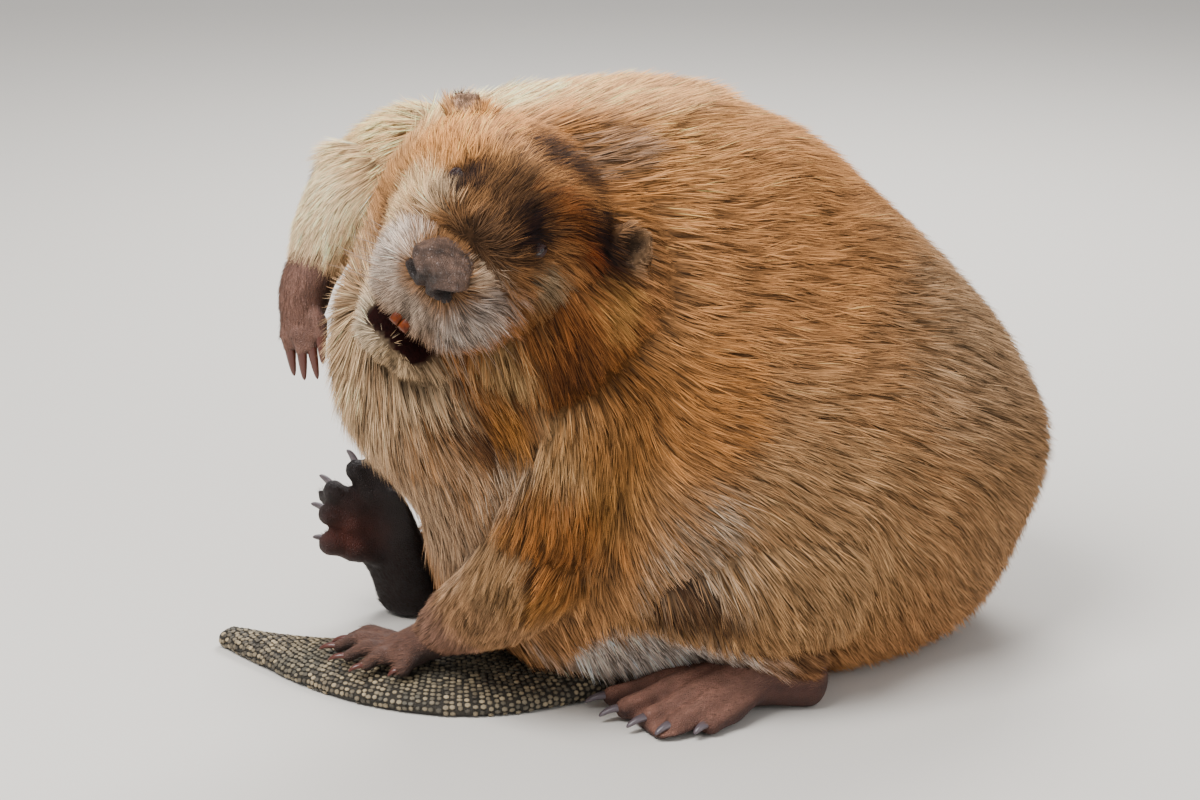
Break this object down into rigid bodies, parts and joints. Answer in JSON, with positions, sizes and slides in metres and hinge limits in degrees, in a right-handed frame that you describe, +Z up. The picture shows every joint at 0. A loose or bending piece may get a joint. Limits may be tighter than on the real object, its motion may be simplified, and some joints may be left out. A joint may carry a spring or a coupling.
{
  "type": "life-size model of a sitting beaver",
  "caption": "Still, life-size model of a Eurasian beaver sitting on its rump, one forearm raised, head turned and mouth open, flat tail laid forward under a forepaw.",
  "frame": {"origin": "middle of the bounding box's base, on the floor under the animal", "axes": "+Z up; the animal sits facing -X, turned about 33 degrees towards -Y, with its left side to -Y and its rump to +X"},
  "size_m": [0.6076, 0.4555, 0.4394],
  "materials": {
    "fur": "coarse guard hair, orange-brown on the back, grey-brown on the rump, paler on the chest and arms",
    "muzzle_fur": "short pale grey-blond hair",
    "paw_skin": "naked creased skin, reddish brown to near black",
    "nose_skin": "moist pebbled grey skin",
    "tail_skin": "grey-olive skin in flat horny scales",
    "horn": "smooth horn claws",
    "enamel": "smooth orange enamel",
    "eye": "wet, very dark brown"
  },
  "bodies": {
    "root": {"trunk": "fur", "neck": "fur", "head": "fur", "muzzle": "muzzle_fur", "jaw": "fur", "nose": "nose_skin", "incisors": "enamel", "eye_left": "eye", "eye_right": "eye", "ear_left": "fur", "ear_right": "fur", "arm_left_upper": "fur", "arm_left_lower": "fur", "arm_right_upper": "fur", "arm_right_lower": "fur", "forepaw_left": "paw_skin", "forepaw_right": "paw_skin", "thigh_left": "fur", "thigh_right": "fur", "shank_left": "fur", "shank_right": "fur", "hindfoot_left": "paw_skin", "hindfoot_right": "paw_skin", "tail": "tail_skin", "tail_root": "fur", "claw_forepaw_left_1": "horn", "claw_forepaw_left_2": "horn", "claw_forepaw_left_3": "horn", "claw_forepaw_left_4": "horn", "claw_forepaw_left_5": "horn", "claw_forepaw_right_1": "horn", "claw_forepaw_right_2": "horn", "claw_forepaw_right_3": "horn", "claw_forepaw_right_4": "horn", "claw_forepaw_right_5": "horn", "claw_hindfoot_left_1": "horn", "claw_hindfoot_left_2": "horn", "claw_hindfoot_left_3": "horn", "claw_hindfoot_left_4": "horn", "claw_hindfoot_left_5": "horn", "claw_hindfoot_right_1": "horn", "claw_hindfoot_right_2": "horn", "claw_hindfoot_right_3": "horn", "claw_hindfoot_right_4": "horn", "claw_hindfoot_right_5": "horn"}
  },
  "joints": []
}
